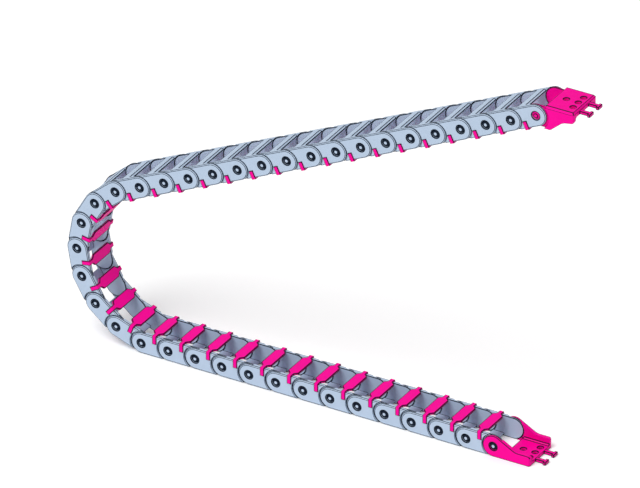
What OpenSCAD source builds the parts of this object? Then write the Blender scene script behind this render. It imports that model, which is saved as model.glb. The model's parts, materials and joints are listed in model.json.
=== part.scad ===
// Clip-together cable drag chain: two end brackets and a string of identical links.
// The lower run lies on the floor, the bend curls up to its stops, and the upper run climbs back.

/* [Chain] */
// Distance between two neighbouring pivots
link_pitch = 35; // [32:0.5:42]
// Height of a link's side walls
link_height = 26; // [23:0.5:28]
// Clear width between the side walls, where the cables lie
inner_width = 41; // [32:1:80]
// Number of links between the two end brackets
link_count = 37; // [30:1:37]
// Number of the first pivot that is bent, counted from the fixed bracket
first_bent_pivot = 14; // [8:1:16]
// Number of pivots bent right up to their stops
full_bends = 7; // [3:1:8]
// Bend at which a pivot meets its stop, in degrees
stop_angle = 20; // [12:1:24]
// Bend of the last curved pivot, before the upper run, in degrees
easing_bend = 15; // [0:1:20]

/* [Side walls] */
// Thickness of the outer lug
lug_thickness = 2.8; // [2:0.1:4]
// Thickness of the inner tongue
tongue_thickness = 2; // [1.6:0.1:3]
// Running gap between a tongue and the lug outside it
side_gap = 0.2; // [0.1:0.05:0.4]
// Gap between a round lug and the hollow end of the next outer wall
lug_end_gap = 2; // [1.5:0.1:3]
// Gap between a round tongue and the hollow end of the next inner wall
tongue_end_gap = 0.8; // [0.4:0.1:1.2]
// Bevel round the outer face of a link's walls
wall_bevel = 1.2; // [0.4:0.1:1.8]

/* [Pivot pins and stops] */
// Diameter of a pivot pin
pin_diameter = 10; // [8:0.2:11]
// Radial clearance of a pin in its hole
pin_clearance = 0.08; // [0.04:0.01:0.1]
// Height of the cone at the tip of a pin
pin_cone = 1.5; // [0.8:0.1:1.8]
// Diameter of the flat on the tip of a pin
pin_tip_diameter = 5; // [4:0.2:6]
// Diameter of the stop knob on a tongue
stop_diameter = 2.2; // [1.8:0.1:2.6]
// Distance of the stop knob from the pivot
stop_radius = 9; // [8.5:0.1:9.5]
// Height of the stop knob above the tongue
stop_height = 1.1; // [0.8:0.1:1.3]
// Clearance all round the stop knob in its arc-shaped pocket
stop_clearance = 0.15; // [0.1:0.05:0.3]

/* [Outer bar] */
// Distance from a link's pin to the near edge of its moulded bar
bar_start = 11.8; // [10:0.2:13]
// Width of the moulded bar along the chain
bar_width = 14.4; // [12:0.2:15]
// Thickness of the moulded bar
bar_thickness = 3.8; // [3:0.1:4.5]
// Bevel along the moulded bar's outer edges
bar_bevel = 2.2; // [1:0.1:2.6]
// Rounding of the moulded bar's inner edges, where cables rub
bar_rounding = 0.9; // [0.4:0.1:1.1]

/* [Clip-on crossbar] */
// Distance from a link's pin to the middle of its crossbar
crossbar_place = 17.6; // [17.2:0.1:19]
// Width of the crossbar's plate along the chain
crossbar_width = 13.6; // [11:0.2:15]
// Thickness of the crossbar's plate
crossbar_thickness = 2.5; // [2.2:0.1:3]
// Width of the necks and hooks
hook_width = 5; // [4:0.2:5.4]
// How far the plate's straight edges stop short of the inner walls
crossbar_shoulder = 5; // [4.6:0.1:7]
// Depth of the notch in the wall that a neck lies in
notch_depth = 0.8; // [0.3:0.1:1]
// Depth of the slot in the wall that a hook lies in
hook_slot_depth = 0.8; // [0.5:0.1:1.2]
// How far a hook stands out beyond the wall
hook_proud = 0.8; // [0.8:0.1:1.8]
// Length of a hook below the top of the wall
hook_drop = 9; // [8:0.1:9.4]
// Radius of the snap bead inside a hook
snap_bead = 0.5; // [0.3:0.05:0.6]
// Side clearance of the crossbar in its notches and slots
snap_clearance = 0.1; // [0.05:0.05:0.2]
// Depth of the lips that locate the crossbar between the walls
lip_depth = 1.8; // [1:0.1:2.5]
// Thickness of the locating lips
lip_thickness = 1.5; // [1:0.1:2]

/* [End brackets] */
// Distance from a bracket's pivot to its row of three holes
hole_row_place = 39.5; // [38:0.5:41]
// Distance from the row to the single hole nearer the chain
hole_step = 15; // [13:0.5:17]
// Distance between two holes of the row
hole_spacing = 12; // [10:0.5:13]
// Diameter of the screw holes
hole_diameter = 6.6; // [5:0.2:7]
// Distance from a bracket's pivot to the near edge of its floor plate
floor_start = 12; // [11:0.5:13]
// Thickness of a bracket's floor plate
floor_thickness = 4.2; // [3.5:0.1:5]
// Distance from the row of holes to the fixed bracket's end face
fixed_end_margin = 7; // [5.5:0.5:12]
// Distance from the row of holes to the moving bracket's end face
moving_end_margin = 8.5; // [6:0.5:12]
// Gap between the last link's lug and the hollow end of the moving bracket's wall
moving_gap = 3.6; // [2:0.1:4.5]
// Height of the pad that stands proud of the moving bracket
pad_height = 2.8; // [1:0.1:3.5]
// Slope width along the pad's long edges
pad_bevel = 2.2; // [1:0.1:2.8]
// Rounding of the brackets' upright end corners
end_rounding = 2; // [1:0.1:3]
// Width of the fillet between the floor plate and the walls
floor_fillet = 2; // [1:0.1:3]

/* [Cable tie teeth] */
// Distance between the middles of the two teeth
tooth_spacing = 19.6; // [17:0.2:22]
// Length of a tooth
tooth_length = 14; // [10:0.5:16]
// Width of a tooth's neck
tooth_neck = 4.6; // [3.6:0.2:5.4]
// Length of a tooth's head across the chain
tooth_head = 9.2; // [7:0.2:11]
// Thickness of a tooth's head along the chain
tooth_head_thickness = 3.4; // [2.5:0.1:4.5]
// Height of a tooth
tooth_height = 3.8; // [3:0.1:4]

/* [Hidden] */
$fn = 96;
eps = 0.01;
overshoot = 1;
half_height = link_height / 2;
wall = tongue_thickness + side_gap + lug_thickness;
inner_face = inner_width / 2;
tongue_face = inner_face + tongue_thickness;
lug_face = tongue_face + side_gap;
outer_face = inner_face + wall;
outer_hollow = half_height + lug_end_gap;
moving_hollow = half_height + moving_gap;
inner_hollow = half_height + tongue_end_gap;
pin_radius = pin_diameter / 2;
pin_length = outer_face - tongue_face;
pocket_depth = stop_height + stop_clearance - side_gap;
seat_height = half_height - notch_depth;
crossbar_foot = seat_height + snap_clearance;
crossbar_top = seat_height + crossbar_thickness;
shoulder_reach = inner_face - crossbar_shoulder;
shoulder_run = (crossbar_width - hook_width) / 2;
hook_outer = outer_face + hook_proud;
slot_floor = outer_face - hook_slot_depth;
hook_inner = slot_floor + snap_clearance;
hook_tip = half_height - hook_drop;
hook_rounding = (hook_outer - hook_inner) * 0.75;
bead_margin = 0.4;
bead_height = hook_tip + 2 * snap_bead + bead_margin;
fixed_length = hole_row_place + fixed_end_margin;
moving_length = hole_row_place + moving_end_margin;
rail_drop = 0.5;
rail_height = half_height - rail_drop;
slope_end = 28;
slope_blend = 14;
corner_rounding = 3.2;
moving_shoulder = 18.5;
moving_waist = 34;
waist_drop = 0.3;
moving_waist_height = half_height - waist_drop;
end_drop = 2.8;
moving_end_height = half_height - end_drop;
shoulder_rounding = 4;
carriage_bend = 180 - full_bends * stop_angle - easing_bend;
moving_pivot = link_count + 1;
split_crossbars = 20;
frame_colour = "#B9CCE3";
snap_colour = "#FF0A9C";

function two_digits(n) = n < 10 ? str("0", n) : str(n);
function rest_bend(k) = k == moving_pivot ? carriage_bend
    : k < first_bent_pivot || k > first_bent_pivot + full_bends ? 0
    : k == first_bent_pivot + full_bends ? easing_bend : stop_angle;
function heading(k) = k == 0 ? 0 : heading(k - 1) + rest_bend(k);
function pivot_place(k) = k == 1 ? [-hole_row_place, half_height]
    : pivot_place(k - 1) + link_pitch * [-cos(heading(k - 1)), sin(heading(k - 1))];

LINKS = [for (k = [1:link_count]) str("link_", two_digits(k))];
CROSSBARS = [for (k = [1:split_crossbars]) str("crossbar_", two_digits(k))];

// Extrudes a side-view outline from one distance off the middle plane to another.
module plate(from, to) {
    rotate([90, 0, 0]) translate([0, 0, -to]) linear_extrude(to - from) children();
}

// Puts the same shape on both sides of the middle plane.
module both_sides() {
    children();
    mirror([0, 1, 0]) children();
}

// Turns a piece drawn along its own pitch line to its place in the chain.
module at_pivot(k) {
    place = pivot_place(k);
    translate([place[0], 0, place[1]]) rotate([0, heading(k), 0]) rotate([0, 0, 180]) children();
}

// Fills the inside corner between two directions with an arc that touches both.
module inside_fillet(corner, angle_a, angle_b, radius) {
    half = (angle_b - angle_a) / 2;
    reach = radius / tan(half);
    centre = corner + radius / sin(half) * [cos(angle_a + half), sin(angle_a + half)];
    difference() {
        polygon([corner, corner + reach * [cos(angle_a), sin(angle_a)], centre,
                 corner + reach * [cos(angle_b), sin(angle_b)]]);
        translate(centre) circle(radius);
    }
}

// The sliver outside an arc that touches both sides of a corner, to be cut away.
module corner_waste(corner, angle_a, angle_b, radius) {
    half = (angle_b - angle_a) / 2;
    reach = radius / tan(half);
    centre = corner + radius / sin(half) * [cos(angle_a + half), sin(angle_a + half)];
    beyond = corner - eps * [cos(angle_a + half), sin(angle_a + half)];
    difference() {
        polygon([beyond, corner + reach * [cos(angle_a), sin(angle_a)], centre,
                 corner + reach * [cos(angle_b), sin(angle_b)]]);
        translate(centre) circle(radius);
    }
}

// Outline of a link's outer wall: round lug at one end, hollow at the other.
module outer_wall_outline() {
    difference() {
        union() {
            translate([0, -half_height]) square([link_pitch, link_height]);
            translate([link_pitch, 0]) circle(half_height);
        }
        circle(outer_hollow);
    }
}

// Bevelled skin of a link's outer wall, which narrows towards its outer face.
module bevelled_skin() {
    start = outer_face - wall_bevel;
    difference() {
        union() {
            rotate([90, 0, 90]) linear_extrude(link_pitch)
                polygon([[start, -half_height], [outer_face, wall_bevel - half_height],
                         [outer_face, half_height - wall_bevel], [start, half_height]]);
            translate([link_pitch, start, 0]) rotate([-90, 0, 0])
                cylinder(r1 = half_height, r2 = half_height - wall_bevel, h = wall_bevel);
        }
        plate(start - overshoot, outer_face + overshoot) circle(outer_hollow);
    }
}

// Outline of a link's inner wall: round tongue at the pin, hollow at the lug.
module inner_wall_outline() {
    difference() {
        union() {
            translate([0, -half_height]) square([link_pitch, link_height]);
            circle(half_height);
        }
        translate([link_pitch, 0]) circle(inner_hollow);
    }
}

// Pin with a conical tip, moulded on a tongue and ending flush with the lug around it.
module pivot_pin() {
    translate([0, tongue_face - eps, 0]) rotate([-90, 0, 0]) {
        cylinder(r = pin_radius, h = pin_length - pin_cone + eps);
        translate([0, 0, pin_length - pin_cone])
            cylinder(r1 = pin_radius, r2 = pin_tip_diameter / 2, h = pin_cone);
    }
}

// Stop knob on a tongue.
module stop_knob() {
    rotate([0, stop_angle / 2, 0]) translate([stop_radius, tongue_face - eps, 0]) rotate([-90, 0, 0])
        cylinder(d = stop_diameter, h = stop_height + eps);
}

// Everything cut out of a lug: the pin's bore and the pocket that the stop knob swings in.
module lug_cuts() {
    track = stop_diameter / 2 + stop_clearance;
    swing = stop_angle / 2 + asin(track / stop_radius);
    stretch = stop_radius + link_height;
    plate(lug_face - overshoot, outer_face + overshoot) circle(pin_radius + pin_clearance);
    plate(lug_face - eps, lug_face + pocket_depth) intersection() {
        difference() {
            circle(stop_radius + track);
            circle(stop_radius - track);
        }
        polygon([[0, 0], stretch * [cos(swing), -sin(swing)], stretch * [cos(swing), sin(swing)]]);
    }
}

// Notch, slot and bead groove that a crossbar's hook snaps into.
module hook_cuts() {
    half_slot = hook_width / 2 + snap_clearance;
    top = half_height + overshoot;
    slot_foot = hook_tip - snap_clearance;
    translate([crossbar_place - half_slot, inner_face - overshoot, seat_height])
        cube([2 * half_slot, wall + 2 * overshoot, top - seat_height]);
    translate([crossbar_place - half_slot, slot_floor, slot_foot])
        cube([2 * half_slot, hook_slot_depth + overshoot, top - slot_foot]);
    translate([crossbar_place - half_slot, slot_floor, bead_height]) rotate([0, 90, 0])
        cylinder(r = snap_bead + snap_clearance, h = 2 * half_slot);
}

// Bar that joins a link's two walls on the outside of the bend, moulded in one with them.
module outer_bar() {
    last = bar_start + bar_width;
    low = -half_height;
    high = low + bar_thickness;
    plate(-inner_face - eps, inner_face + eps) {
        polygon([[bar_start + bar_bevel, low], [last - bar_bevel, low], [last, low + bar_bevel],
                 [last, high - bar_rounding], [bar_start, high - bar_rounding],
                 [bar_start, low + bar_bevel]]);
        translate([bar_start + bar_rounding, low + bar_bevel])
            square([bar_width - 2 * bar_rounding, bar_thickness - bar_bevel]);
        for (x = [bar_start + bar_rounding, last - bar_rounding])
            translate([x, high - bar_rounding]) circle(bar_rounding);
    }
}

// One moulded link: two stepped walls with pins, stops and lugs, and the outer bar between them.
module link_frame() {
    color(frame_colour) {
        both_sides() difference() {
            union() {
                plate(lug_face, outer_face - wall_bevel) outer_wall_outline();
                bevelled_skin();
                plate(inner_face, tongue_face) inner_wall_outline();
                plate(inner_face, lug_face + eps) intersection() {
                    outer_wall_outline();
                    inner_wall_outline();
                }
                pivot_pin();
                stop_knob();
            }
            translate([link_pitch, 0, 0]) lug_cuts();
            hook_cuts();
        }
        outer_bar();
    }
}

// Half of the crossbar's outline, seen from above: plate, sloping shoulder and neck.
module crossbar_half_outline() {
    polygon([[-crossbar_width / 2, -eps], [crossbar_width / 2, -eps],
             [crossbar_width / 2, shoulder_reach], [hook_width / 2, shoulder_reach + shoulder_run],
             [hook_width / 2, hook_inner + eps], [-hook_width / 2, hook_inner + eps],
             [-hook_width / 2, shoulder_reach + shoulder_run], [-crossbar_width / 2, shoulder_reach]]);
}

// Clip-on crossbar: a flat plate with a hook over each wall and a lip inside each wall.
module crossbar() {
    lip_outer = inner_face - snap_clearance;
    color(snap_colour) translate([crossbar_place, 0, 0]) {
        both_sides() {
            translate([0, 0, crossbar_foot])
                linear_extrude(crossbar_top - crossbar_foot) crossbar_half_outline();
            translate([-hook_width / 2, 0, 0]) rotate([90, 0, 90]) linear_extrude(hook_width) {
                translate([hook_inner, hook_tip])
                    square([hook_outer - hook_inner, crossbar_top - hook_rounding - hook_tip]);
                translate([hook_inner, hook_tip])
                    square([hook_outer - hook_inner - hook_rounding, crossbar_top - hook_tip]);
                translate([hook_outer - hook_rounding, crossbar_top - hook_rounding]) circle(hook_rounding);
            }
            translate([-hook_width / 2, hook_inner, bead_height]) rotate([0, 90, 0])
                cylinder(r = snap_bead, h = hook_width);
            translate([-hook_width / 2, lip_outer - lip_thickness, crossbar_foot - lip_depth])
                cube([hook_width, lip_thickness, lip_depth + eps]);
        }
    }
}

// Screw holes of a bracket's floor plate: a row of three across and a single one nearer the chain.
module screw_holes(bottom, top) {
    places = [[hole_row_place, -hole_spacing], [hole_row_place, 0], [hole_row_place, hole_spacing],
              [hole_row_place - hole_step, 0]];
    for (place = places)
        translate([place[0], place[1], bottom - overshoot])
            cylinder(d = hole_diameter, h = top - bottom + 2 * overshoot);
}

// Two T-headed teeth beyond a bracket's end, where cable ties hold the cables.
module tie_teeth(length, bottom) {
    for (side = [-1, 1]) translate([0, side * tooth_spacing / 2, bottom]) {
        translate([length - overshoot, -tooth_neck / 2, 0])
            cube([tooth_length + overshoot - eps, tooth_neck, tooth_height]);
        translate([length + tooth_length - tooth_head_thickness, -tooth_head / 2, 0])
            cube([tooth_head_thickness, tooth_head, tooth_height]);
    }
}

// The waste outside a bracket's two upright end corners.
module end_corner_waste(length) {
    both_sides() translate([0, 0, -link_height]) linear_extrude(2 * link_height)
        corner_waste([length, outer_face], 180, 270, end_rounding);
}

// Fillets between a bracket's floor plate and its walls.
module floor_fillets(length, height) {
    both_sides() translate([inner_hollow, 0, 0]) rotate([90, 0, 90]) linear_extrude(length - inner_hollow)
        polygon([[inner_face + eps, height - eps], [inner_face + eps, height + floor_fillet],
                 [inner_face - floor_fillet, height - eps]]);
}

// Side outline of the fixed bracket's wall: round lug, long slope and low rail.
module fixed_wall_outline() {
    rail = rail_height - half_height;
    slope = acos(half_height / norm([slope_end, rail])) + atan2(rail, slope_end);
    touch = half_height * [cos(slope), sin(slope)];
    difference() {
        union() {
            circle(half_height);
            polygon([[0, -half_height], [fixed_length, -half_height], [fixed_length, rail],
                     [slope_end, rail], touch, [0, 0]]);
            inside_fillet([slope_end, rail], 0, slope + 90, slope_blend);
        }
        corner_waste([fixed_length, rail], 180, 270, corner_rounding);
    }
}

// Fixed bracket: its lugs hold the first link's pins, and its floor plate is screwed down.
module fixed_bracket() {
    floor_top = floor_thickness - half_height;
    color(snap_colour) translate([-hole_row_place, 0, half_height]) difference() {
        union() {
            both_sides() {
                plate(lug_face, outer_face) fixed_wall_outline();
                plate(inner_face, outer_face) difference() {
                    fixed_wall_outline();
                    circle(inner_hollow);
                    translate([-link_height, -link_height]) square([link_height, 2 * link_height]);
                }
            }
            translate([floor_start, -lug_face, -half_height])
                cube([fixed_length - floor_start, 2 * lug_face, floor_thickness]);
            floor_fillets(fixed_length, floor_top);
            tie_teeth(fixed_length, -half_height);
        }
        both_sides() rotate([0, 0, 180]) mirror([0, 1, 0]) lug_cuts();
        screw_holes(-half_height, floor_top);
        end_corner_waste(fixed_length);
    }
}

// Side outline of the moving bracket's wall, drawn with the floor plate at the bottom.
module moving_wall_outline() {
    waist = moving_waist_height - half_height;
    end_height = moving_end_height - half_height;
    fall = atan2(half_height - waist, moving_waist - moving_shoulder);
    tail = atan2(waist - end_height, moving_length - moving_waist);
    difference() {
        union() {
            polygon([[0, -half_height], [moving_length, -half_height], [moving_length, end_height],
                     [moving_waist, waist], [moving_shoulder, half_height], [0, half_height]]);
            inside_fillet([moving_waist, waist], -tail, 180 - fall, slope_blend);
        }
        corner_waste([moving_shoulder, half_height], 180, 360 - fall, shoulder_rounding);
        corner_waste([moving_length, end_height], 180 - tail, 270, corner_rounding);
    }
}

// Floor plate of the moving bracket with its raised, bevelled pad.
module moving_floor() {
    under = -half_height - pad_height;
    top = floor_thickness - half_height;
    difference() {
        translate([floor_start, 0, 0]) rotate([90, 0, 90]) linear_extrude(moving_length - floor_start)
            polygon([[-outer_face, -half_height], [pad_bevel - outer_face, under],
                     [outer_face - pad_bevel, under], [outer_face, -half_height],
                     [outer_face, top], [-outer_face, top]]);
        both_sides() plate(tongue_face, outer_face + overshoot) circle(moving_hollow);
        plate(-outer_face - overshoot, outer_face + overshoot)
            polygon([[moving_length + eps, under - eps], [moving_length + eps, -half_height],
                     [moving_length - pad_bevel, under - eps]]);
    }
}

// Moving bracket: its tongues and pins fit the last link's lugs, and its pad meets the carriage.
module moving_bracket() {
    color(snap_colour) difference() {
        union() {
            both_sides() {
                plate(inner_face, tongue_face) {
                    circle(half_height);
                    moving_wall_outline();
                }
                plate(inner_face, outer_face) difference() {
                    moving_wall_outline();
                    circle(moving_hollow);
                }
                pivot_pin();
            }
            moving_floor();
            floor_fillets(moving_length, floor_thickness - half_height);
            tie_teeth(moving_length, -half_height);
        }
        screw_holes(-half_height - pad_height, floor_thickness - half_height);
        end_corner_waste(moving_length);
    }
}

fixed_bracket();
for (k = [1:link_count]) {
    at_pivot(k) {
        link_frame();
        if (k > split_crossbars) crossbar();
    }
}
for (k = [1:split_crossbars]) {
    at_pivot(k) crossbar();
}
at_pivot(moving_pivot) moving_bracket();
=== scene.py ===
import json
import math

import bmesh
import bpy
import numpy as np
from mathutils import Matrix, Vector


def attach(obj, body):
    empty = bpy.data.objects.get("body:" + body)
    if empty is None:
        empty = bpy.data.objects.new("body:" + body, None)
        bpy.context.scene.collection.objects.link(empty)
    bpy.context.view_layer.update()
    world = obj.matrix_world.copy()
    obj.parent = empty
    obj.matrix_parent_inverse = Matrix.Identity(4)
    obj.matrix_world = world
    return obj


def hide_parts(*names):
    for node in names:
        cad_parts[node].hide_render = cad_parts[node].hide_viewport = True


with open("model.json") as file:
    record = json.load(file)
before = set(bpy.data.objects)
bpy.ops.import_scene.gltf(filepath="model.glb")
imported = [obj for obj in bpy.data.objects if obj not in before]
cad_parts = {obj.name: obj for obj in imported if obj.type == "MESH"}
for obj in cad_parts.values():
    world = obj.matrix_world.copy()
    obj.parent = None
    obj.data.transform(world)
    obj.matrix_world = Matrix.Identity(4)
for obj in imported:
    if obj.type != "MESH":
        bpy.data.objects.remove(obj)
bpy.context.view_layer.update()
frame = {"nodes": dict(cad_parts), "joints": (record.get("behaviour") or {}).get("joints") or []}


# ---- Link frames ----
# A link's two stepped walls and its outer bar are one moulding in glass-filled nylon.
# The mould is spark-eroded, so flat faces carry a fine matt grain and edges come out slightly round.
# The edge strips are drawn darker than real ones to show the forms; in the narrow gap beside each lug they
# also stand for painted shade.
# The cone round each pin's tip is painted dark all over, as painted shade for its recess.
LINK_COLOUR = "#B9CCE3"
LINK_EDGE_AND_SHADE_COLOUR = "#0E1C2E"
LINK_EDGE_ROUNDING = 0.001
GRAIN_SIZE = 0.0009  # real grain is about 0.1 mm, too fine to show, so it is drawn coarser
MOTTLE_SIZE = 0.018
MOTTLE_DIM = 0.9  # the darker patches have this share of the colour
GRAIN_LOW, GRAIN_HIGH = 0.3, 0.7
GRAIN_ROUGHNESS = 0.06
GRAIN_STRENGTH = 0.35
NYLON_IOR = 1.53
FLAT_TURN = math.radians(0.4)
SHARP_TURN = math.radians(25)
CHAMFER_TURN = math.radians(60)
CHAMFER_SHARE = 0.7  # the strips along a chamfer are narrower, so that its face shows
KNIFE_TURN = math.radians(110)  # a sharper point is too thin to be rounded
FOLD_TURN = math.radians(179)  # two faces back to back with nothing between them
SAMPLE_STEP = 0.0001
ROOM_SHARE = 0.42
ABREAST_SHARE = 0.45
STRIP_SEGMENTS = 2
STRIP_PROFILE = 0.85  # nearly sharp, so that the strip lies flat on both sides of the edge
PIN_RADIUS = 0.005
CONE_TILT_LOW, CONE_TILT_HIGH = 0.8, 0.92  # how far the cone's faces look along the pin
STRAIGHT_LINK = 2  # a link with no turn at rest, whose shape all the others share


def linear(hex_colour):
    """Linear colour of an sRGB hex: c / 12.92 below 0.04045, else ((c + 0.055) / 1.055) ** 2.4."""
    channels = np.array([int(hex_colour[i : i + 2], 16) for i in (1, 3, 5)]) / 255
    curved = ((channels + 0.055) / 1.055) ** 2.4
    return (*np.where(channels < 0.04045, channels / 12.92, curved), 1.0)


def add_node(tree, kind, inputs=(), **settings):
    """One shader node: settings go to its properties, inputs get a number or another node's output."""
    node = tree.nodes.new(kind)
    for name, value in settings.items():
        setattr(node, name, value)
    for name, value in dict(inputs).items():
        if isinstance(value, bpy.types.NodeSocket):
            tree.links.new(value, node.inputs[name])
        else:
            node.inputs[name].default_value = value
    return node


def moulded_nylon(name, colour, roughness, depth, sheen_level=0.5):
    """Nylon from a spark-eroded mould: faint mottling in the colour, fine grain in bump and roughness."""
    material = bpy.data.materials.new(name)
    material.use_nodes = True
    tree = material.node_tree
    tree.nodes.clear()
    place = add_node(tree, "ShaderNodeTexCoord").outputs["Object"]
    mottle = add_node(
        tree,
        "ShaderNodeTexNoise",
        {"Vector": place, "Scale": 1 / MOTTLE_SIZE, "Detail": 3.0},
    )
    grain = add_node(
        tree,
        "ShaderNodeTexNoise",
        {"Vector": place, "Scale": 1 / GRAIN_SIZE, "Detail": 2.0},
    )
    base = linear(colour)
    dim = tuple(MOTTLE_DIM * c for c in base[:3]) + (1.0,)
    tone = add_node(
        tree,
        "ShaderNodeMix",
        {"Factor": mottle.outputs["Fac"], 6: base, 7: dim},
        data_type="RGBA",
    )
    rough = add_node(
        tree,
        "ShaderNodeMapRange",
        {
            "Value": grain.outputs["Fac"],
            "From Min": GRAIN_LOW,
            "From Max": GRAIN_HIGH,
            "To Min": roughness - GRAIN_ROUGHNESS,
            "To Max": roughness + GRAIN_ROUGHNESS,
        },
    )
    bump = add_node(
        tree,
        "ShaderNodeBump",
        {"Height": grain.outputs["Fac"], "Strength": GRAIN_STRENGTH, "Distance": depth},
    )
    shader = add_node(
        tree,
        "ShaderNodeBsdfPrincipled",
        {
            "Base Color": tone.outputs[2],
            "Roughness": rough.outputs["Result"],
            "Normal": bump.outputs["Normal"],
            "IOR": NYLON_IOR,
            "Specular IOR Level": sheen_level,
        },
    )
    add_node(tree, "ShaderNodeOutputMaterial", {"Surface": shader.outputs["BSDF"]})
    return material


def merged_copy(node):
    """A CAD node's mesh with its loose triangles joined at shared points and its flat faces made whole.

    Where two faces lie back to back with nothing between them, the fold's tip is drawn back to its root.
    """
    source = frame["nodes"][node].data
    corners = np.empty(len(source.vertices) * 3)
    source.vertices.foreach_get("co", corners)
    points = corners.reshape(-1, 3)
    faces = np.empty(len(source.loops), int)
    source.loops.foreach_get("vertex_index", faces)
    _, first, shared = np.unique(
        np.round(points * 1e6).astype(int), axis=0, return_index=True, return_inverse=True
    )
    triangles = shared.ravel()[faces].reshape(-1, 3)
    whole = [len(set(t)) == 3 for t in triangles.tolist()]
    mesh = bpy.data.meshes.new(node + "_merged")
    mesh.from_pydata(points[first].tolist(), [], triangles[whole].tolist())
    work = bmesh.new()
    work.from_mesh(mesh)
    bmesh.ops.dissolve_limit(work, angle_limit=FLAT_TURN, verts=work.verts, edges=work.edges)
    folded = {}
    for edge in work.edges:
        if edge.calc_face_angle(0.0) > FOLD_TURN:
            for vertex in edge.verts:
                sides = [other.other_vert(vertex) for other in vertex.link_edges if other != edge]
                folded[vertex] = min(sides, key=lambda side: (side.co - vertex.co).length)
    tips = {vertex: end for vertex, end in folded.items() if end not in folded}
    bmesh.ops.weld_verts(work, targetmap=tips)
    work.to_mesh(mesh)
    work.free()
    return mesh


def edge_widths(mesh, widest):
    """Width of the strip at each edge, from 0 at a smooth edge to 1 for the widest.

    A strip takes at most ROOM_SHARE of the room beside its edge, the distance across to the nearest
    point of another sharp edge that lies abreast: within ABREAST_SHARE of this edge's length from its
    middle. For an edge that touches this one, the distance is taken from the middle itself.
    Edges that follow each other with a small turn all get the least width among them.
    """
    work = bmesh.new()
    work.from_mesh(mesh)
    turns = np.array([edge.calc_face_angle(0.0) for edge in work.edges])
    names = np.array([[vertex.index for vertex in edge.verts] for edge in work.edges])
    ends = np.array([[vertex.co for vertex in edge.verts] for edge in work.edges])
    work.free()
    sharp = np.flatnonzero((turns > SHARP_TURN) & (turns < KNIFE_TURN))
    names, low, high = names[sharp], ends[sharp, 0], ends[sharp, 1]
    length = np.linalg.norm(high - low, axis=1)
    along = (high - low) / length[:, None]
    middle = (low + high) / 2
    steps = np.maximum(np.ceil(length / SAMPLE_STEP), 1).astype(int)
    owner = np.repeat(np.arange(len(sharp)), steps)
    place = (np.arange(len(owner)) - np.repeat(np.cumsum(steps) - steps, steps) + 0.5) / steps[owner]
    points = low[owner] + place[:, None] * (high - low)[owner]
    widths = np.ones(len(sharp))
    joined = (names[:, None, :, None] == names[None, :, None, :]).any(axis=(2, 3))
    for i in range(len(sharp)):
        gaps = points - middle[i]
        ahead = gaps @ along[i]
        abreast = (owner != i) & (np.abs(ahead) < ABREAST_SHARE * length[i])
        gaps, ahead, apart = gaps[abreast], ahead[abreast], ~joined[i, owner[abreast]]
        gaps[apart] -= ahead[apart, None] * along[i]
        room = np.linalg.norm(gaps, axis=1).min(initial=1.0)
        widths[i] = min(ROOM_SHARE * room / widest, 1.0)
    widths[turns[sharp] < CHAMFER_TURN] *= CHAMFER_SHARE
    first, second = np.nonzero(joined & (np.abs(along @ along.T) > math.cos(SHARP_TURN)))
    before = widths + 1
    while (widths < before).any():
        before = widths.copy()
        np.minimum.at(widths, first, widths[second])
    whole = np.zeros(len(turns))
    whole[sharp] = widths
    return whole


def rounded(mesh, width, name):
    """The mesh with each sharp edge made a small strip of the second material, and flats shaded flat."""
    for _ in range(2):
        mesh.materials.append(None)
    mesh.shade_smooth()
    weights = mesh.attributes.new("bevel_weight_edge", "FLOAT", "EDGE")
    weights.data.foreach_set("value", edge_widths(mesh, width))
    piece = bpy.data.objects.new(name, mesh)
    bpy.context.scene.collection.objects.link(piece)
    strip = piece.modifiers.new("edge", "BEVEL")
    strip.width = width
    strip.segments = STRIP_SEGMENTS
    strip.profile = STRIP_PROFILE
    strip.limit_method = "WEIGHT"
    strip.material = 1
    strip.use_clamp_overlap = False
    piece.modifiers.new("flats", "WEIGHTED_NORMAL")
    graph = bpy.context.evaluated_depsgraph_get()
    done = bpy.data.meshes.new_from_object(piece.evaluated_get(graph))
    bpy.data.objects.remove(piece)
    return done


pins = [Vector(joint["pos_m"]) for joint in frame["joints"]]
LINK_COUNT = len(pins) - 1


def heading(number):
    """Angle by which a link is turned about Y from a straight one: that of the line between its two pins."""
    run = pins[number] - pins[number - 1]
    return math.atan2(run.z, -run.x)


def placed(mesh, number, name, materials, body):
    """A copy of the straight link's piece, turned about its own pin by the heading and moved there."""
    start = Matrix.Translation(-pins[STRAIGHT_LINK - 1])
    turn = Matrix.Rotation(heading(number), 4, "Y")
    copy = mesh.copy()
    copy.transform(Matrix.Translation(pins[number - 1]) @ turn @ start)
    piece = bpy.data.objects.new(name, copy)
    for slot, material in enumerate(materials):
        copy.materials[slot] = material
    bpy.context.scene.collection.objects.link(piece)
    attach(piece, body)
    return piece


link_nylon = moulded_nylon("moulded_nylon_steel_blue", LINK_COLOUR, 0.5, 0.00006)
# The dark second material: drawn edge strips, and painted shade in each pin-tip cone and in the gaps beside
# the lugs.
link_edge_and_shade = moulded_nylon("moulded_nylon_steel_blue_edge_and_painted_shade", LINK_EDGE_AND_SHADE_COLOUR, 0.55, 0.00004, 0.1)
link_mesh = merged_copy(f"link_{STRAIGHT_LINK:02d}")
tilts = np.empty(3 * len(link_mesh.polygons))
link_mesh.polygons.foreach_get("normal", tilts)
tilts = np.abs(tilts[1::3])
middles = np.empty(3 * len(link_mesh.polygons))
link_mesh.polygons.foreach_get("center", middles)
middles = middles.reshape(-1, 3)
own_pin = np.array(pins[STRAIGHT_LINK - 1])
off_axis = np.hypot(middles[:, 0] - own_pin[0], middles[:, 2] - own_pin[2])
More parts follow.
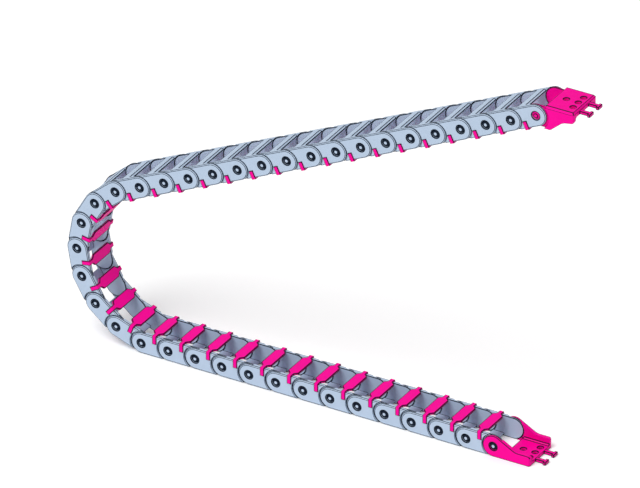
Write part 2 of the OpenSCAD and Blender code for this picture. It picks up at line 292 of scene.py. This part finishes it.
# The pin-tip cone faces get the dark material: painted shade for the recess round the pin.
cone = (off_axis < PIN_RADIUS) & (tilts > CONE_TILT_LOW) & (tilts < CONE_TILT_HIGH)
link_mesh.polygons.foreach_set("material_index", cone.astype(int))
link_shape = rounded(link_mesh, LINK_EDGE_ROUNDING, "link_shape")
for number in range(1, LINK_COUNT + 1):
    node = f"link_{number:02d}"
    piece = placed(link_shape, number, f"frame_{number:02d}", [link_nylon, link_edge_and_shade], node)
    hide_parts(node)


# ---- Clip-on crossbars ----
# One magenta nylon bar closes each link on the inside of the bend. Its hooks spring over the walls,
# and it is unfilled nylon, so it is a little glossier than the frames.
SNAP_COLOUR = "#FF009C"
SNAP_EDGE_COLOUR = "#3C0630"
SNAP_EDGE_ROUNDING = 0.001
BARS_OF_THEIR_OWN = 20  # the first crossbars have a node each, and the rest share their link's

snap_nylon = moulded_nylon("moulded_nylon_magenta", SNAP_COLOUR, 0.42, 0.00004, 0.05)
snap_edge = moulded_nylon("moulded_nylon_magenta_edge", SNAP_EDGE_COLOUR, 0.5, 0.00003, 0.1)
crossbar_shape = rounded(
    merged_copy(f"crossbar_{STRAIGHT_LINK:02d}"), SNAP_EDGE_ROUNDING, "crossbar_shape"
)
for number in range(1, LINK_COUNT + 1):
    body = f"link_{number:02d}"
    own = f"crossbar_{number:02d}"
    piece = placed(crossbar_shape, number, f"snap_bar_{number:02d}", [snap_nylon, snap_edge], body)
    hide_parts(own if number <= BARS_OF_THEIR_OWN else body)


# ---- End brackets ----
# The two screw-down brackets are moulded in the same magenta nylon as the crossbars.
# Their floor plates take M6 screws, and two T-headed teeth hold the cable ties.
BRACKET_EDGE_ROUNDING = 0.001

for node in ("fixed_bracket", "moving_bracket"):
    shape = rounded(merged_copy(node), BRACKET_EDGE_ROUNDING, node + "_shape")
    piece = bpy.data.objects.new(node + "_moulding", shape)
    shape.materials[0] = snap_nylon
    shape.materials[1] = snap_edge
    bpy.context.scene.collection.objects.link(piece)
    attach(piece, node)
    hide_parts(node)


# ---- Floor, lights and camera ----
# The chain lies on a plain white studio floor, under a white sky and one soft light
# from the upper left, close to the viewer's own direction.
FLOOR_SIZE = 60.0
FLOOR_DROP = 0.0002
FLOOR_COLOUR = "#FDFDFD"
FLOOR_LIFT = 0.14  # what the camera sees is lifted to white, and the shadow stays
SKY_STRENGTH = 0.5
KEY_STRENGTH = 1.85
KEY_SPREAD = math.radians(35)
KEY_FROM = Vector((-0.2, -0.6, 1.0))
VIEW_TURN = math.radians(30)  # the camera stands this far round from the chain's side
VIEW_RISE = math.radians(30)
VIEW_WIDTH = 0.71405  # what the picture takes in across its middle
LENS = 1000.0
SENSOR = 36.0
VIEW_MIDDLE = Vector((-0.2768, 0.0, 0.1921))

floor_mesh = bpy.data.meshes.new("floor")
reach = FLOOR_SIZE / 2
floor_mesh.from_pydata(
    [(x * reach, y * reach, -FLOOR_DROP) for x, y in ((-1, -1), (1, -1), (1, 1), (-1, 1))],
    [],
    [(0, 1, 2, 3)],
)
floor = bpy.data.objects.new("floor", floor_mesh)
bpy.context.scene.collection.objects.link(floor)
paint = bpy.data.materials.new("matt_white_paint")
paint.use_nodes = True
paint.node_tree.nodes.clear()
matt = add_node(paint.node_tree, "ShaderNodeBsdfDiffuse", {"Color": linear(FLOOR_COLOUR)})
seen = add_node(paint.node_tree, "ShaderNodeLightPath").outputs["Is Camera Ray"]
lift = add_node(
    paint.node_tree, "ShaderNodeMapRange", {"Value": seen, "To Min": 0.0, "To Max": FLOOR_LIFT}
)
gleam = add_node(paint.node_tree, "ShaderNodeEmission", {"Strength": lift.outputs["Result"]})
both = add_node(paint.node_tree, "ShaderNodeAddShader")
paint.node_tree.links.new(matt.outputs["BSDF"], both.inputs[0])
paint.node_tree.links.new(gleam.outputs["Emission"], both.inputs[1])
add_node(paint.node_tree, "ShaderNodeOutputMaterial", {"Surface": both.outputs["Shader"]})
floor_mesh.materials.append(paint)

sky = bpy.data.worlds.new("studio")
bpy.context.scene.world = sky
sky.use_nodes = True
sky.node_tree.nodes.clear()
path = add_node(sky.node_tree, "ShaderNodeLightPath")
level = add_node(
    sky.node_tree,
    "ShaderNodeMapRange",
    {"Value": path.outputs["Is Camera Ray"], "To Min": SKY_STRENGTH, "To Max": 1.0},
)
glow = add_node(
    sky.node_tree,
    "ShaderNodeBackground",
    {"Color": linear("#FFFFFF"), "Strength": level.outputs["Result"]},
)
add_node(sky.node_tree, "ShaderNodeOutputWorld", {"Surface": glow.outputs["Background"]})

key_light = bpy.data.lights.new("key", "SUN")
key_light.energy = KEY_STRENGTH
key_light.angle = KEY_SPREAD
key = bpy.data.objects.new("key", key_light)
key.rotation_euler = KEY_FROM.to_track_quat("Z", "Y").to_euler()
bpy.context.scene.collection.objects.link(key)

lens = bpy.data.cameras.new("camera")
lens.lens = LENS
lens.sensor_width = SENSOR
camera = bpy.data.objects.new("camera", lens)
back = Vector(
    (
        math.sin(VIEW_TURN) * math.cos(VIEW_RISE),
        -math.cos(VIEW_TURN) * math.cos(VIEW_RISE),
        math.sin(VIEW_RISE),
    )
)
camera.location = VIEW_MIDDLE + back * (LENS / SENSOR * VIEW_WIDTH)
camera.rotation_euler = back.to_track_quat("Z", "Y").to_euler()
bpy.context.scene.collection.objects.link(camera)
bpy.context.scene.camera = camera
bpy.context.scene.view_settings.view_transform = "Standard"
